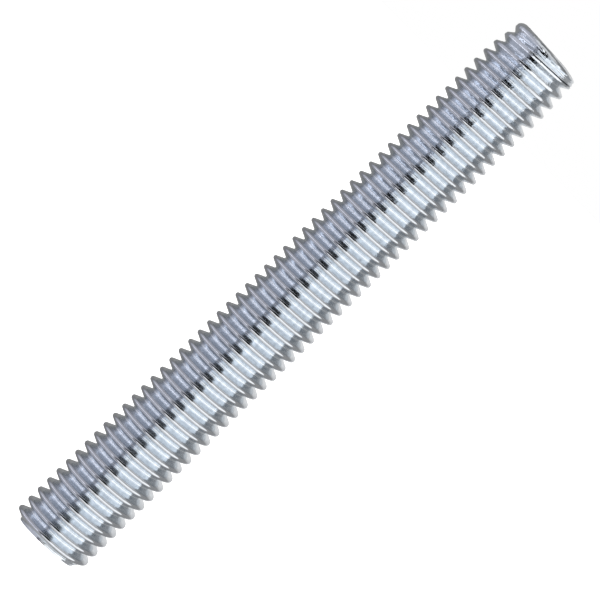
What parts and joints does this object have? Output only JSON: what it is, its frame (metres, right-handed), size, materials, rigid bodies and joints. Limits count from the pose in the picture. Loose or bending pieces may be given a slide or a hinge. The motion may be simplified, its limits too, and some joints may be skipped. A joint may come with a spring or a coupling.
{
  "type": "threaded rod",
  "caption": "Short fully threaded steel rod with a coarse metric thread from end to end, a chamfered foot and a slim lead at its top end, bright zinc plated.",
  "frame": {"origin": "centre of the flat foot that the rod stands on, at the end with the short chamfer", "axes": "+Z along the rod's axis, from the foot to the slim lead that starts a nut; +X and +Y are free, and the thread's start is turned from +X"},
  "size_m": [0.0098, 0.0098, 0.08],
  "materials": {
    "zinc_plated_steel": "bright electro-zinc with a clear blue passivate over a rolled thread, glossy on the flanks and mottled along the grooves"
  },
  "bodies": {
    "root": {"threaded_rod": "zinc_plated_steel"}
  },
  "joints": []
}
